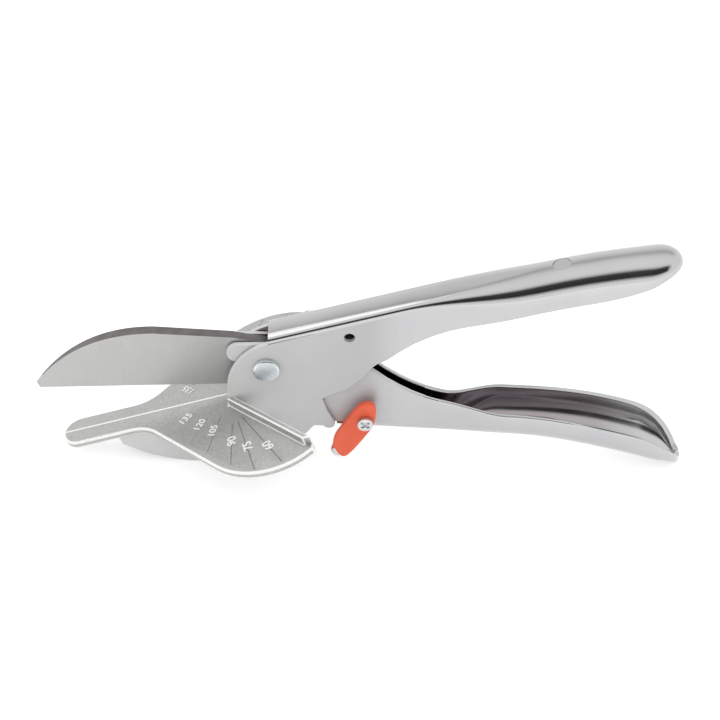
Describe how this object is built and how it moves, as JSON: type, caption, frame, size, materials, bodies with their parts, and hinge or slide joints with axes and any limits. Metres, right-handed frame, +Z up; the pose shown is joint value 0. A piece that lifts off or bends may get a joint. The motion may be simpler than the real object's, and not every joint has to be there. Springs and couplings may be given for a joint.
{
  "type": "mitre shears",
  "caption": "Hand shears with two channel-shaped levers, a wedge blade that closes on a winged mitre table with angle lines and fences, and a swinging lock lever.",
  "frame": {"origin": "centre of the bounding box on the bench plane, with the belly and the claw tip on the bench", "axes": "+X along the handles from the blade tip to the grips, +Y from the bolt head side to the nut side, +Z up"},
  "size_m": [0.2502, 0.0904, 0.1034],
  "materials": {
    "upper_handle": "polished chrome on pressed steel",
    "mitre_table": "matt die-cast alloy with engraved angle lines",
    "table_screws": "bright zinc plate",
    "table_nuts": "bright zinc plate",
    "pivot_bolt": "blue zinc plate",
    "pivot_washer": "blue zinc plate",
    "pivot_nut": "blue zinc plate",
    "lower_handle": "polished chrome on pressed steel",
    "pivot_sleeve": "ground steel",
    "blade": "cross-ground steel with a dark spine",
    "blade_rivets": "plain steel",
    "spring_post": "plain steel",
    "return_spring": "drawn spring wire",
    "lock_spacer": "plain steel",
    "lock_screw": "bright zinc plate",
    "lock_nut": "bright zinc plate",
    "lock_lever": "orange-red enamel",
    "lock_washer": "spring steel",
    "lock_stud": "bright zinc plate"
  },
  "bodies": {
    "upper": {"upper_handle": "upper_handle", "mitre_table": "mitre_table", "table_screws": "table_screws", "table_nuts": "table_nuts", "pivot_bolt": "pivot_bolt", "pivot_washer": "pivot_washer", "pivot_nut": "pivot_nut"},
    "lower": {"lower_handle": "lower_handle", "pivot_sleeve": "pivot_sleeve", "blade": "blade", "blade_rivets": "blade_rivets", "spring_post": "spring_post", "return_spring": "return_spring", "lock_spacer": "lock_spacer", "lock_screw": "lock_screw", "lock_nut": "lock_nut", "lock_washer": "lock_washer"},
    "lock": {"lock_lever": "lock_lever", "lock_stud": "lock_stud"}
  },
  "joints": [
    {"name": "handle_close", "type": "hinge", "parent": "upper", "child": "lower", "pos_m": [-0.03757, 0, 0.04843], "axis": [0, -1, 0], "range_deg": [0, 16], "stiffness_Nm_per_rad": 2, "springref_deg": -17.19, "deforming": ["return_spring"]},
    {"name": "lock_swing", "type": "hinge", "parent": "lower", "child": "lock", "pos_m": [0.00011, 0, 0.02547], "axis": [0, 1, 0], "range_deg": [0, 32.4]}
  ]
}
